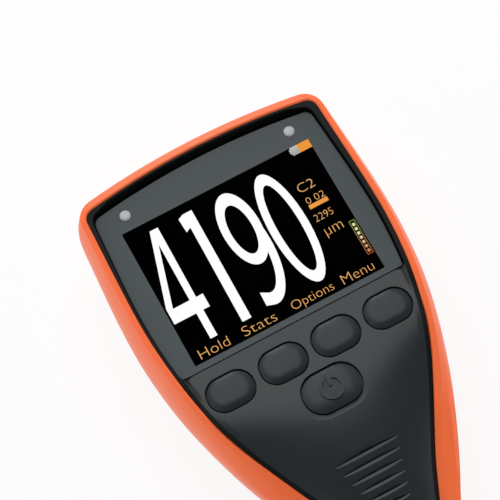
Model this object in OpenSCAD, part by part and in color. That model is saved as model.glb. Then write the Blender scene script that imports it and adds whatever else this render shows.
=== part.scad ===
// Coating thickness gauge: a display head that narrows to a grip, with a sprung probe at its end.
// It lies on its back. X is right, Y is toward the head end, Z is out of the display.
// Sizes are in millimetres. Places along the case are distances from the head end.

/* [Case] */
// Length from the head end to the probe tip
body_l = 141; // [140:0.5:144]
// Thickness from the back to the rim
body_t = 37; // [36.5:0.5:39]
// Width at the corners of the head
corner_w = 72.4; // [71.4:0.2:73.4]
// Width at the widest part of the head
head_w = 75; // [74.2:0.2:75.8]
// Width beside the lower edge of the display
brow_w = 74.5; // [73.5:0.1:75.5]
// Width at the soft keys
shoulder_w = 70.3; // [69.8:0.1:71.3]
// Width at the power key
waist_w = 61.7; // [60.9:0.1:62.7]
// Width at the first grip groove
grip_w = 51; // [50:0.2:52]
// Width at the last grip groove
tail_w = 39.6; // [38.6:0.2:40.6]
// Width ahead of the probe
neck_w = 27.6; // [26.8:0.2:28.4]
// Width at the probe end of the case
nose_w = 20.4; // [19.8:0.2:21.2]
// Radius of the head's end edge
head_r = 195; // [150:5:300]
// Radius of the head's corners
corner_r = 6; // [5:0.5:8]
// Radius of the case's two corners at the probe end
nose_r = 4.2; // [3:0.2:5]
// Wall of both shells
wall_t = 2.2; // [1.8:0.1:2.4]
// Floor of the rear shell
floor_t = 2.4; // [2:0.1:3]
// Height of the joint between the shells
joint_z = 14; // [13.6:0.2:14.4]
// Groove left along the joint, on each shell
joint_groove = 0.3; // [0.2:0.05:0.5]
// How far the back edge is rounded in, beside the head
back_in = 7; // [6:0.5:7.5]
// How far the back edge is rounded in, beside the grip
grip_back_in = 10; // [9:0.5:10.5]
// How far the rim comes down from the head to the probe end
rim_drop = 16.2; // [15.8:0.1:16.6]
// How far the front comes down from the keys to beyond the probe end
front_drop = 14.5; // [14:0.1:15]
// How far the back rises toward the probe end
back_rise = 4.6; // [4:0.1:5]
// Width of the rim at the head end
rim_top_w = 3.05; // [2.9:0.05:3.2]
// Width of the rim beside the head
rim_head_w = 3.75; // [3.6:0.05:3.85]
// Width of the rim beside the grip
rim_grip_w = 6.6; // [6.2:0.1:7]
// Width of the rim at the probe end
rim_nose_w = 4; // [3.6:0.1:4.4]
// Flat part of the rim beside the head
band_w = 1.5; // [1.2:0.1:1.8]
// Flat part of the rim at the head end and the grip
band_wide_w = 2.4; // [2:0.1:2.6]
// Height of the widest line of the sides, beside the head
bulge_z = 23.4; // [22.4:0.2:24.4]
// How far the widest line lies below the crease at the probe end
bulge_low = 3.2; // [2.8:0.1:3.6]
// How far the sides come in from their widest line to the joint, beside the head
head_tuck = 0.7; // [0.5:0.1:1]
// How far the sides come in from their widest line to the joint, beside the grip
grip_tuck = 1.7; // [1.4:0.1:2]

/* [Front panel] */
// Thickness of the panel at the keys and the grip
panel_t = 2; // [1.8:0.1:2.2]
// How far the panel's lip lies below the rim
lip_drop = 0.3; // [0.2:0.05:0.5]
// Width of the lip
lip_w = 1.1; // [0.95:0.05:1.25]
// Length of the slope from the lip down to the key field
lip_fall = 3; // [2.5:0.1:3.4]
// Gap between the panel and the rim
panel_gap = 0.15; // [0.1:0.05:0.25]
// Place of the first grip groove
groove_d = 93.2; // [92:0.2:95]
// Spacing of the grip grooves
groove_pitch = 2.65; // [2.4:0.05:2.8]
// Number of grip grooves
grooves = 7; // [5:1:7]
// Depth of a grip groove
groove_t = 0.8; // [0.5:0.05:1]
// Width of a grip groove
groove_w = 1.7; // [1.2:0.1:2]

/* [Display] */
// Width of the picture
picture_w = 53.4; // [52:0.2:54]
// Height of the picture
picture_h = 40; // [39:0.2:41]
// Place of the picture's centre
picture_d = 34.7; // [34.4:0.1:35]
// Depth of the window below the rim
window_deep = 2; // [1.8:0.1:2.2]
// Thickness of the window
window_t = 2; // [1.6:0.1:2.2]
// Width of the gasket round the window
gasket_w = 0.25; // [0.2:0.05:0.5]
// Place of the window's lower edge
window_end = 56.4; // [56.2:0.1:56.6]
// Shelf under the window's edge
shelf_t = 1.2; // [1:0.1:1.5]
// Thickness of the display panel
lcd_t = 3.2; // [2.8:0.1:3.4]
// Height of the display carrier
carrier_t = 3; // [2.8:0.1:3.4]
// Thickness of the circuit board
board_t = 1.6; // [1.2:0.1:1.8]
// How far the lamps lie inside the widest part of the head
lamp_in = 13.9; // [13.6:0.1:14.4]
// Place of the lamps
lamp_d = 10.4; // [10:0.1:10.6]
// Width of a lamp
lamp_w = 2.9; // [2.6:0.1:3.2]

/* [Keys] */
// Gap between two soft keys
soft_between = 2.4; // [2:0.05:2.8]
// From the outer soft keys to the sides of the case
key_side = 6.95; // [6.5:0.05:7.4]
// Width of a soft key
soft_w = 8.9; // [8.4:0.1:9.2]
// Corner radius of a soft key
soft_r = 4.2; // [3.6:0.1:4.2]
// Place of the soft keys
soft_d = 64.6; // [64.2:0.1:64.8]
// Length of the power key
power_l = 15.3; // [14:0.1:16]
// Width of the power key
power_w = 10.6; // [10:0.1:11]
// Gap between the soft keys and the power key
row_gap = 1.65; // [1.5:0.05:2]
// Height of a key above the panel
key_up = 0.7; // [0.4:0.05:1]
// Rounding of a key's top, from its middle to its ends
key_dome = 0.55; // [0.3:0.05:0.7]
// Travel of a key
key_travel = 0.8; // [0.5:0.05:1]
// Gap round a key
key_gap = 0.35; // [0.25:0.05:0.45]
// Width of the standby mark on the power key
mark_w = 6; // [5:0.1:6.4]
// Height of the standby mark
mark_up = 0.25; // [0.15:0.05:0.4]

/* [Battery] */
// Diameter of a cell
cell_w = 14.5; // [14:0.1:14.5]
// Length of a cell
cell_l = 50.5; // [49.5:0.1:50.5]
// Room for the spring at a cell's end
cell_spring = 3.2; // [2.8:0.1:3.6]
// Width of the battery cover
cover_w = 35; // [35:0.2:36]
// Thickness of the battery cover
cover_t = 1.8; // [1.6:0.1:2]
// Corner radius of the battery cover
cover_r = 5; // [4:0.5:6]
// Gap round the battery cover
cover_gap = 0.2; // [0.15:0.05:0.3]
// Thickness of the battery seal
seal_t = 0.6; // [0.5:0.05:0.8]
// Radius of the latch ring, to the middle of its wire
ring_r = 5.9; // [5.4:0.1:6]
// Thickness of the latch ring's wire
ring_wire = 1.6; // [1.3:0.1:1.7]
// Diameter of the latch spindle
spindle_w = 6; // [5:0.1:6.4]

/* [Probe] */
// Length of the case
case_l = 128.5; // [127.5:0.5:128.5]
// Length of the collar outside the case
collar_l = 9; // [8:0.5:9.5]
// Diameter of the collar
collar_w = 15.2; // [14.4:0.1:15.6]
// Diameter of the collar inside the case
barrel_w = 11.6; // [11.4:0.1:11.8]
// Height of the probe's middle
probe_z = 11.9; // [11.7:0.1:12.1]
// Diameter of the probe sleeve
sleeve_w = 7.2; // [6.8:0.1:7.4]
// Diameter of the wear tip
tip_w = 3.2; // [2.8:0.1:3.4]
// Travel of the probe
probe_travel = 3.4; // [2.6:0.1:3.4]
// Thickness of the probe spring's wire
spring_wire = 0.7; // [0.5:0.05:0.8]

/* [Fittings] */
// Width of the data socket
socket_w = 7.7; // [7:0.1:8]
// Height of the data socket
socket_h = 3.9; // [3.6:0.1:4]
// Width of the data socket's cover
flap_w = 12.4; // [11:0.1:13]
// Height of the data socket's cover
flap_h = 7; // [6.8:0.1:7.2]
// Thickness of the data socket's cover
flap_t = 1.5; // [1.4:0.05:1.6]
// Diameter of the strap bar
bar_w = 2.5; // [2:0.1:2.8]
// Width of the strap slot
slot_w = 11; // [9:0.5:12]
// Length of the strap slot
slot_l = 7; // [6:0.2:7.4]
// Diameter of a case screw's thread
screw_w = 2.5; // [2:0.1:2.6]
// Diameter of a case screw's head
screw_head_w = 4.8; // [4.4:0.1:5]

/* [Hidden] */
$fn = 48;
orange = [0.94, 0.42, 0.24];
charcoal = [0.22, 0.24, 0.25];
black = [0.06, 0.06, 0.07];
steel = [0.72, 0.73, 0.75];
eps = 0.01;

head_y = body_l / 2;
// Outline of the case: place and half width
corner_d = 0.068 * case_l;
shoulder_d = 0.488 * case_l;
waist_d = 0.612 * case_l;
grip_d = 0.721 * case_l;
tail_d = 0.815 * case_l;
outline = [
    [corner_d, corner_w / 2],
    [0.25 * case_l, head_w / 2],
    [0.363 * case_l, brow_w / 2],
    [shoulder_d, shoulder_w / 2],
    [waist_d, waist_w / 2],
    [grip_d, grip_w / 2],
    [tail_d, tail_w / 2],
    [0.908 * case_l, neck_w / 2],
    [case_l, nose_w / 2]
];
rim_thin_d = 0.27 * case_l;
rim_bend_d = 0.397 * case_l;
rim_wide_d0 = 0.53 * case_l;
rim_wide_d1 = 0.79 * case_l;
nose_fade = 0.07 * case_l;
tuck_d0 = 0.28 * case_l;
tuck_d1 = 0.545 * case_l;
// Points along the head end, a corner, a side, and a corner of the probe end
n_head = 7;
n_corner = 6;
n_side = 34;
n_nose = 4;

window_top = body_t - window_deep;
window_bottom = window_top - window_t;
shelf_bottom = window_bottom - shelf_t;
head_edge_t = body_t - lip_drop - shelf_bottom;
recess_in = rim_head_w + panel_gap + lip_w;
gasket_gap = 0.05;
window_in = recess_in + gasket_w + 2 * gasket_gap;
lcd_top = shelf_bottom - 0.3;
lcd_bottom = lcd_top - lcd_t;
board_top = lcd_bottom - carrier_t;
board_bottom = board_top - board_t;
soft_l = (shoulder_w - 2 * key_side - 3 * soft_between) / 4;
soft_pitch = soft_l + soft_between;
power_d = soft_d + (soft_w + power_w) / 2 + row_gap;
board_in = 6;
board_end = power_d + 6;
lamp_span = head_w - 2 * lamp_in;
lcd_w = picture_w + 6.6;
lcd_d0 = lamp_d + lamp_w / 2 + 0.6;
lcd_d1 = picture_d + picture_h / 2 + 2.3;

edge_d0 = window_end + 1.6;
crown_d0 = soft_d - soft_w / 2;
crown_d1 = power_d + power_w;
key_seat = window_top - panel_t;
flange_out = 0.7;
flange_t = 1;
flange_gap = 0.3;
seat_gap = 0.05;
switch_w = 6;
switch_t = 3.4;
button_w = 3.4;
button_top = key_seat - seat_gap - flange_t - 0.7 - key_travel - 0.2;

shelf_top = cover_t + seal_t;
pad_top = shelf_top + 1.2;
cell_z = cover_t + 0.7 + cell_w / 2;
cell_x = cell_w / 2 + 0.3;
tray_wall = 1.2;
contact_t = 0.4;
tray_in_w = 2 * cell_x + cell_w + 0.8;
tray_in_l = cell_l + cell_spring + 2 * contact_t;
tray_d0 = 13.5;
tray_d1 = tray_d0 + 2 * tray_wall + tray_in_l;
tray_top = cell_z + cell_w / 2 + 0.4 + 1.5;
recess_r = ring_r + ring_wire / 2 + 0.4;
recess_t = 3;
boss_r = recess_r + 0.9;
boss_top = recess_t + 2;
latch_d = tray_d1 + boss_r + 0.3;
cover_edge = 2.5;
cover_d0 = tray_d0 - 2 * cover_edge;
cover_d1 = latch_d + boss_r + 0.4 + cover_edge;
cover_l = cover_d1 - cover_d0;
cover_d = (cover_d0 + cover_d1) / 2;
hatch_w = cover_w - 4;
hatch_l = cover_l - 2 * cover_edge;
ring_z = ring_wire / 2 + 0.5;
cam_z = boss_top + 0.3;
cam_t = 2;
cam_l = boss_r + 3.6;
back_flat_end = cover_d1 + 3;

screw_spots = [[corner_w / 2 - 11.6, corner_d + 4.5], [0.29 * tail_w, grip_d + 3.7]];
screw_top = 22;
bore_head_r = screw_head_w / 2 + 0.3;
bore_head_t = 2.8;
post_r = 3.5;

socket_z = board_bottom - socket_h / 2;
pocket_t = flap_t + 0.3;
pocket_gap = 0.25;
slot_d = 104;
slot_top = 8.6;
bar_z = 3.5;

collar_end = case_l + collar_l;
barrel_d0 = slot_d + slot_l / 2 + 3.6;
tip_out = body_l - collar_end;
sleeve_end = body_l - tip_w / 2 - 0.1;
tip_in = 4;
step_d = case_l - 4.5;
shoulder_r = sleeve_w / 2 + 1;
shoulder_t = 2.6;
shoulder_d0 = step_d - 0.1 - shoulder_t;
well_d0 = barrel_d0 + 1.5;
run_gap = 0.05;

// A soft step from 0 to 1
function ease(t) = let (c = max(0, min(1, t))) c * c * (3 - 2 * c);

// A smooth line through the points of a table
function span_at(T, d, i = 0) = i >= len(T) - 2 || d <= T[i + 1][0] ? i : span_at(T, d, i + 1);
function lean(T, i) =
    let (a = max(0, i - 1), b = min(len(T) - 1, i + 1))
    (T[b][1] - T[a][1]) / (T[b][0] - T[a][0]);
function along(T, d) =
    let (i = span_at(T, d), h = T[i + 1][0] - T[i][0], t = (d - T[i][0]) / h)
    (2 * t * t * t - 3 * t * t + 1) * T[i][1] + (t * t * t - 2 * t * t + t) * h * lean(T, i)
    + (3 * t * t - 2 * t * t * t) * T[i + 1][1] + (t * t * t - t * t) * h * lean(T, i + 1);

function half_w(d) = along(outline, d);
function rim_z(d) = body_t - rim_drop * ease((d - rim_bend_d) / (case_l - rim_bend_d));
function rim_w(d) =
    rim_head_w + (rim_grip_w - rim_head_w) * ease((d - rim_wide_d0) / (rim_wide_d1 - rim_wide_d0))
    - (rim_head_w - rim_top_w) * ease((rim_thin_d - d) / rim_thin_d)
    - (rim_grip_w - rim_nose_w) * ease((d - rim_wide_d1) / (case_l - rim_wide_d1));
function back_z(d) = back_rise * ease((d - back_flat_end) / (case_l + 4 - back_flat_end));
function flat_w(d) =
    let (top = ease((corner_d - d) / corner_d), grip = ease((d - shoulder_d) / (grip_d - shoulder_d)))
    band_w + (band_wide_w - band_w) * max(top, grip);
function crease_in(d) = rim_w(d) - flat_w(d);
function crease_z(d) = rim_z(d) - 0.4 * flat_w(d);
function mid_z(d) = bulge_z + (crease_z(d) - bulge_low - bulge_z) * ease((d - waist_d) / (case_l - waist_d));
function back_edge(d) = back_in + (grip_back_in - back_in) * ease((d - shoulder_d) / (grip_d - shoulder_d));
function tuck(d) = head_tuck + (grip_tuck - head_tuck) * ease((d - tuck_d0) / (tuck_d1 - tuck_d0));
function side_in(d, z) =
    z > mid_z(d) ? crease_in(d) * pow((z - mid_z(d)) / (crease_z(d) - mid_z(d)), 2.5)
    : tuck(d) * pow((mid_z(d) - z) / (mid_z(d) - joint_z), 2);
function lip_z(d) = rim_z(d) - lip_drop;
function panel_edge_t(d) = head_edge_t - (head_edge_t - panel_t) * ease((d - edge_d0) / (power_d - edge_d0));
function ledge_z(d) = lip_z(d) - panel_edge_t(d) - 0.1;
function panel_in(d) = rim_w(d) + panel_gap;
function front_z(d) =
    let (
        z = window_top - front_drop * ease((d - power_d + 1) / (collar_end - power_d + 1)),
        fade = ease((case_l - rim_nose_w - d) / nose_fade)
    )
    lip_z(d) + (z - lip_z(d)) * fade;

// One side of the case seen from the front, drawn in by an amount that can vary: [x, place]
function side_walk(inset) =
    let (
        r = max(corner_r - inset(0), 2),
        R = head_r - inset(0),
        cx = half_w(outline[0][0]) - inset(outline[0][0]) - r,
        cd = head_r - sqrt((R - r) * (R - r) - cx * cx),
        a0 = asin(cx / (R - r)),
        e = case_l - inset(case_l),
        er = max(nose_r - inset(case_l), 1.2),
        ed = e - er,
        ex = half_w(ed) - inset(ed) - er
    )
    concat(
        [for (k = [0:n_head - 1]) let (a = a0 * k / n_head) [R * sin(a), head_r - R * cos(a)]],
        [for (k = [0:n_corner - 1]) let (a = a0 + (90 - a0) * k / n_corner) [cx + r * sin(a), cd - r * cos(a)]],
        [for (k = [0:n_side - 1]) let (d = cd + (ed - cd) * k / n_side) [half_w(d) - inset(d), d]],
        [for (k = [0:n_nose]) let (a = 90 * k / n_nose) [ex + er * cos(a), ed + er * sin(a)]]
    );

function mirrored(w) = concat(w, [for (i = [len(w) - 1:-1:1]) [-w[i][0], w[i][1]]]);
function ring(inset, z) = [for (p = mirrored(side_walk(inset))) [p[0], head_y - p[1], z(p[1])]];

// A skin over a stack of rings, closed on itself or with an end across each last ring
module skin(rings, closed) {
    n = len(rings[0]);
    m = len(rings);
    h = (n - 1) / 2;
    last = (m - 1) * n;
    walls = [for (k = [0:(closed ? m - 1 : m - 2)], i = [0:n - 1])
        let (a = k * n + i, b = k * n + (i + 1) % n, c = ((k + 1) % m) * n)
        each [[a, b, c + (i + 1) % n], [a, c + (i + 1) % n, c + i]]];
    low = [for (i = [0:h - 1]) let (j = (n - i) % n, k = n - i - 1)
        each concat(i == 0 ? [] : [[i, j, i + 1]], [[j, k, i + 1]])];
    top = [for (f = low) [last + f[0], last + f[2], last + f[1]]];
    polyhedron([for (r = rings) each r], closed ? walls : concat(walls, low, top), convexity = 8);
}

module at(x, d, z = 0) {
    translate([x, head_y - d, z])
        children();
}

// A flat shape of the case, drawn in, between two places
module plan(inset, d0, d1) {
    intersection() {
        polygon([for (p = mirrored(side_walk(inset))) [p[0], head_y - p[1]]]);
        translate([-head_w, head_y - d1])
            square([2 * head_w, d1 - d0]);
    }
}

module rounded(w, l, r) {
    long = l - 2 * r > eps ? [-1, 1] : [0];
    square([w - 2 * r, l], center = true);
    if (len(long) == 2)
        square([w, l - 2 * r], center = true);
    for (x = [-1, 1], y = long)
        translate([x * (w / 2 - r), y * (l / 2 - r)])
            circle(r);
}

module block(w, l, h) {
    translate([-w / 2, -l / 2, 0])
        cube([w, l, h]);
}

// A round bar along the case, between two places
module rod(r, d0, d1) {
    at(0, d1, probe_z)
        rotate([-90, 0, 0])
            cylinder(r = r, h = d1 - d0);
}

// A wound wire: middle radius, wire radius, height and turns
module coil(r, wire, h, turns, steps) {
    n = turns * steps;
    pts = [for (k = [0:n], j = [0:5])
        let (a = 360 * k / steps, b = 60 * j, q = r + wire * cos(b))
        [q * cos(a), q * sin(a), wire + (h - 2 * wire) * k / n + wire * sin(b)]];
    walls = [for (k = [0:n - 1], j = [0:5])
        let (a = k * 6 + j, b = k * 6 + (j + 1) % 6)
        each [[a, b, b + 6], [a, b + 6, a + 6]]];
    ends = [[for (j = [5:-1:0]) j], [for (j = [0:5]) n * 6 + j]];
    polyhedron(pts, concat(walls, ends), convexity = 8);
}

// Front shell: bulged sides, a crease and a rim, with a ledge inside for the panel
module front_shell() {
    up = [0, 0.25, 0.5, 0.68, 0.82, 0.92, 1];
    wall_z = function (d) max(joint_z + 0.6, ledge_z(d) - 1.5 - (rim_w(d) + 1.6 - wall_t - tuck(d)));
    outside = [for (f = up)
        let (z = function (d) f == 0 ? joint_z + joint_groove : joint_z + 0.6 + f * (crease_z(d) - joint_z - 0.6))
        ring(function (d) side_in(d, z(d)), z)];
    rim = [
        ring(function (d) rim_w(d) - 0.4, function (d) rim_z(d)),
        ring(function (d) rim_w(d), function (d) rim_z(d) - 0.35)
    ];
    inside = [
        ring(function (d) rim_w(d), function (d) ledge_z(d)),
        ring(function (d) rim_w(d) + 1.6, function (d) ledge_z(d)),
        ring(function (d) rim_w(d) + 1.6, function (d) max(joint_z + 1.2, ledge_z(d) - 1.5)),
        ring(function (d) wall_t + tuck(d), wall_z),
        ring(function (d) wall_t + tuck(d), function (d) joint_z)
    ];
    foot = [ring(function (d) tuck(d) + joint_groove, function (d) joint_z)];
    skin(concat(foot, outside, rim, inside), true);
}

module front_frame() {
    color(orange)
    difference() {
        union() {
            front_shell();
            for (s = [-1, 1]) {
                for (p = screw_spots) {
                    tall = p[1] < window_end ? board_bottom : screw_top + 1;
                    at(s * p[0], p[1], joint_z)
                        cylinder(r = post_r, h = tall - joint_z);
                    reach = half_w(p[1]) - wall_t + 0.2 - p[0];
                    at(s * (p[0] + reach / 2), p[1], joint_z)
                        block(reach, 3, tall - joint_z - 1);
                }
                at(s * (half_w(power_d - 2) - wall_t - 2.9), power_d - 2, joint_z + 3)
                    block(8, 3, board_bottom - joint_z - 3);
            }
        }
        for (s = [-1, 1])
            for (p = screw_spots)
                at(s * p[0], p[1], joint_z - 1)
                    cylinder(r = screw_w / 2 + 0.02, h = screw_top - joint_z + 1.3);
        at(0, 0, socket_z - flap_h / 2 - pocket_gap)
            block(flap_w + 2 * pocket_gap, 2 * pocket_t, flap_h + 2 * pocket_gap);
        at(0, 0, socket_z - socket_h / 2 - 0.3)
            block(socket_w + 0.6, 12, socket_h + 0.6);
        rod(barrel_w / 2 + 0.1, case_l - 12, case_l + 5);
    }
}

// Rear shell: a shallow tray with a rounded back edge
module rear_shell() {
    turn = [90, 72, 54, 38, 22, 8];
    inner_turn = [0, 20, 40, 60, 78, 90];
    n = 2.5;
    outside = [for (a = turn)
        let (q = 1 - pow(cos(a), 2 / n), f = pow(sin(a), 2 / n))
        ring(function (d) tuck(d) + back_edge(d) * q, function (d) joint_z + f * (back_z(d) - joint_z))];
    edge = [
        ring(function (d) tuck(d), function (d) joint_z - joint_groove),
        ring(function (d) tuck(d) + joint_groove, function (d) joint_z)
    ];
    inside = [for (a = inner_turn)
        let (q = 1 - pow(cos(a), 2 / n), f = pow(sin(a), 2 / n))
        ring(function (d) wall_t + tuck(d) + back_edge(d) * q, function (d) joint_z + f * (back_z(d) + floor_t - joint_z))];
    skin(concat(outside, edge, inside), false);
}

module rear_case() {
    color(orange)
    difference() {
        union() {
            rear_shell();
            at(0, cover_d, floor_t / 2)
                linear_extrude(pad_top - floor_t / 2)
                    rounded(cover_w + 4.4, cover_l + 4.4, cover_r + 2);
            at(0, latch_d + cam_l - 1.4, floor_t / 2)
                block(8, 2.6, cam_z - 0.2 - floor_t / 2);
            for (s = [-1, 1])
                for (p = screw_spots)
                    at(s * p[0], p[1], 1)
                        cylinder(r = post_r, h = joint_z - 1);
            at(0, slot_d, floor_t)
                block(slot_w + 6, slot_l + 4, slot_top + 2 - floor_t);
            at(0, barrel_d0 + 1.6, 3)
                block(17, 2.4, probe_z - 4);
        }
        at(0, cover_d, -1)
            linear_extrude(shelf_top + 1)
                rounded(cover_w + 2 * cover_gap, cover_l + 2 * cover_gap, cover_r + cover_gap);
        at(0, cover_d, -1)
            linear_extrude(pad_top + 2)
                rounded(hatch_w, hatch_l, cover_r - 2);
        for (s = [-1, 1])
            for (p = screw_spots) {
                at(s * p[0], p[1], -1)
                    cylinder(r = bore_head_r, h = bore_head_t + 1);
                at(s * p[0], p[1], -1)
                    cylinder(r = screw_w / 2 + 0.15, h = joint_z + 2);
            }
        at(0, slot_d, -1)
            block(slot_w, slot_l, slot_top + 1);
        at(0, slot_d, bar_z)
            rotate([0, 90, 0])
                cylinder(r = bar_w / 2 + 0.02, h = slot_w + 4, center = true);
        rod(barrel_w / 2 + 0.1, barrel_d0 - 1, case_l + 5);
    }
}

// Front panel: lip and shelf for the window, key field, and grip with grooves
function panel_top(x, d, b) =
    let (
        c = front_z(d),
        u = b - abs(x),
        dish = c + (lip_z(d) - c) * (1 - ease((u - lip_w) / lip_fall)),
        crown = c + (lip_z(d) - c) * pow(abs(x) / b, 2.2),
        w = ease((d - crown_d0) / (crown_d1 - crown_d0))
    )
    d < window_end + 0.1 ? lip_z(d) : dish * (1 - w) + crown * w;
function panel_bottom(x, d, b) =
    let (c = front_z(d) - panel_t, e = lip_z(d) - panel_edge_t(d))
    d < window_end + 1.2 ? shelf_bottom : c + (e - c) * pow(abs(x) / b, 2.2);

module panel_skin() {
    walk = side_walk(function (d) panel_in(d));
    rows_a = [for (i = [1:len(walk) - 1]) if (walk[i][1] < window_end - 0.1) walk[i]];
    rows_b = [for (d = [window_end, window_end + 0.3, window_end + 1.1, window_end + 1.3])
        [half_w(d) - panel_in(d), d]];
    rows_c = [for (i = [1:len(walk) - 1]) if (walk[i][1] > window_end + 1.5) walk[i]];
    rows = concat(rows_a, rows_b, rows_c);
    edge = [0, lip_w, lip_w + lip_fall * 0.25, lip_w + lip_fall * 0.5, lip_w + lip_fall * 0.75, lip_w + lip_fall];
    function half_cols(b) =
        let (s = min(1, b / 6), q = b - s * edge[5])
        concat([for (e = edge) b - s * e], [q * 0.66, q * 0.33]);
    function cols(b) = let (h = half_cols(b)) concat([for (x = h) -x], [0], [for (i = [len(h) - 1:-1:0]) h[i]]);
    m = len(cols(10));
    n = len(rows);
    upper = [for (r = rows) for (x = cols(r[0])) [x, head_y - r[1], panel_top(x, r[1], r[0])]];
    lower = [for (r = rows) for (x = cols(r[0])) [x, head_y - r[1], panel_bottom(x, r[1], r[0])]];
    k = n * m;
    sheet = [for (i = [0:n - 2], j = [0:m - 2])
        let (a = i * m + j)
        each [[a, a + 1, a + m + 1], [a, a + m + 1, a + m]]];
    under = [for (f = sheet) [k + f[0], k + f[2], k + f[1]]];
    flanks = [for (i = [0:n - 2]) let (a = i * m, b = i * m + m - 1)
        each [[a, a + m, k + a], [k + a, a + m, k + a + m], [b, k + b, b + m], [k + b, k + b + m, b + m]]];
    ends = [for (j = [0:m - 2]) let (b = (n - 1) * m + j)
        each [[j, k + j, j + 1], [k + j, k + j + 1, j + 1], [b, b + 1, k + b], [k + b, b + 1, k + b + 1]]];
    polyhedron(concat(upper, lower), concat(sheet, under, flanks, ends), convexity = 8);
}

module key_holes(l, w, r) {
    translate([0, 0, -eps])
        linear_extrude(body_t)
            rounded(l + 2 * key_gap, w + 2 * key_gap, r + key_gap);
    grow = flange_out + flange_gap;
    translate([0, 0, -body_t])
        linear_extrude(body_t)
            rounded(l + 2 * grow, w + 2 * grow, r + grow);
}

module front_panel() {
    color(charcoal)
    difference() {
        panel_skin();
        translate([0, 0, window_bottom])
            linear_extrude(10)
                plan(function (d) recess_in, -1, window_end + 0.3);
        at(0, picture_d, 20)
            linear_extrude(20)
                rounded(picture_w + 2.4, picture_h + 2.4, 1);
        for (s = [-1, 1])
            at(s * lamp_span / 2, lamp_d, 20)
                cylinder(r = lamp_w / 2 + 0.2, h = 20);
        for (k = [-1.5:1:1.5])
            at(k * soft_pitch, soft_d, key_seat)
                key_holes(soft_l, soft_w, soft_r);
        at(0, power_d, key_seat - 0.1)
            key_holes(power_l, power_w, power_w / 2);
        for (k = [0:grooves - 1]) {
            d = groove_d + k * groove_pitch;
            dz = (front_z(d - 1) - front_z(d + 1)) / 2;
            at(0, d, front_z(d))
                rotate([0, 90, 0])
                    linear_extrude(grip_w, center = true)
                        polygon([[groove_t, 0], [-groove_t * 0.6 - dz, groove_w * 0.8], [-groove_t * 0.6 + dz, -groove_w * 0.8]]);
        }
    }
}

module display_window() {
    color([0.3, 0.32, 0.33])
    difference() {
        translate([0, 0, window_bottom])
            linear_extrude(window_t)
                plan(function (d) window_in, -1, window_end);
        for (s = [-1, 1])
            at(s * lamp_span / 2, lamp_d, window_bottom - 1)
                cylinder(r = lamp_w / 2 + 0.1, h = window_t + 2);
    }
}

module window_gasket() {
    color(black)
    translate([0, 0, window_bottom])
        linear_extrude(window_t * 0.6)
            difference() {
                plan(function (d) recess_in + gasket_gap, -1, window_end);
                plan(function (d) recess_in + gasket_gap + gasket_w, -1, window_end + 5);
            }
}

module lcd_module() {
    color([0.12, 0.13, 0.14])
    at(0, (lcd_d0 + lcd_d1) / 2, lcd_bottom)
        block(lcd_w, lcd_d1 - lcd_d0, lcd_t);
}

module display_carrier() {
    color([0.85, 0.85, 0.82])
    at(0, (lcd_d0 + lcd_d1) / 2, board_top)
        linear_extrude(carrier_t)
            difference() {
                square([lcd_w, lcd_d1 - lcd_d0], center = true);
                square([lcd_w - 8, lcd_d1 - lcd_d0 - 8], center = true);
            }
}

module main_board() {
    color([0.1, 0.36, 0.2])
    translate([0, 0, board_bottom])
        linear_extrude(board_t)
            plan(function (d) board_in, -1, board_end);
}

module lamp() {
    h = window_top + 0.4 - board_top;
    r = lamp_w / 2;
    color([0.93, 0.92, 0.88])
    rotate_extrude() {
        square([r, h - lamp_w + sqrt(lamp_w * lamp_w - r * r)]);
        intersection() {
            translate([0, h - 1])
                square([r, 1]);
            translate([0, h - lamp_w])
                circle(lamp_w);
        }
    }
}

module lamp_left() {
    at(-lamp_span / 2, lamp_d, board_top)
        lamp();
}

module lamp_right() {
    at(lamp_span / 2, lamp_d, board_top)
        lamp();
}

// A key: domed cap, a flange under the panel and a short foot over its switch
module key(l, w, r, seat) {
    top = window_top + key_up;
    ball = (l * l / 4) / (2 * key_dome);
    color(charcoal)
    intersection() {
        translate([0, 0, seat - seat_gap - eps])
            linear_extrude(10)
                rounded(l, w, r);
        translate([0, 0, top - ball])
            sphere(r = ball);
    }
    color(charcoal)
    translate([0, 0, seat - seat_gap - flange_t])
        linear_extrude(flange_t)
            rounded(l + 2 * flange_out, w + 2 * flange_out, r + flange_out);
    color(charcoal)
    translate([0, 0, seat - seat_gap - flange_t - 0.7])
        cylinder(r = 2, h = 0.8);
}

module soft_key(k) {
    at((k - 2.5) * soft_pitch, soft_d)
        key(soft_l, soft_w, soft_r, key_seat);
}

module soft_key_1() {
    soft_key(1);
}

module soft_key_2() {
    soft_key(2);
}

module soft_key_3() {
    soft_key(3);
}

module soft_key_4() {
    soft_key(4);
}

// Power key with a raised standby mark: a ring open toward the head and a bar in the opening
module power_key() {
    top = window_top + key_up;
    at(0, power_d)
        key(power_l, power_w, power_w / 2, key_seat - 0.1);
    color([0.6, 0.61, 0.62])
    at(0, power_d, top - 0.4) {
        difference() {
            cylinder(r = mark_w / 2, h = 0.4 + mark_up);
            translate([0, 0, -1])
                cylinder(r = mark_w / 2 - 0.7, h = 4);
            translate([0, mark_w / 2, -1])
                block(2.2, mark_w, 4);
        }
        translate([0, mark_w * 0.32, 0])
            block(0.7, mark_w * 0.5, 0.4 + mark_up);
    }
}

module key_switches() {
    spots = concat([for (k = [-1.5:1:1.5]) [k * soft_pitch, soft_d, 0]], [[0, power_d, 0.1]]);
    color([0.2, 0.2, 0.22])
    for (p = spots)
        at(p[0], p[1], board_top) {
            block(switch_w, switch_w, switch_t);
            cylinder(r = button_w / 2, h = button_top - p[2] - board_top);
        }
}

module data_socket() {
    color(steel)
    at(0, pocket_t + 0.1 + 4.4, socket_z - socket_h / 2)
        difference() {
            block(socket_w, 8.8, socket_h);
            translate([0, 1.2, 0.4])
                block(socket_w - 0.8, 8.8, socket_h - 0.8);
        }
}

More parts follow.
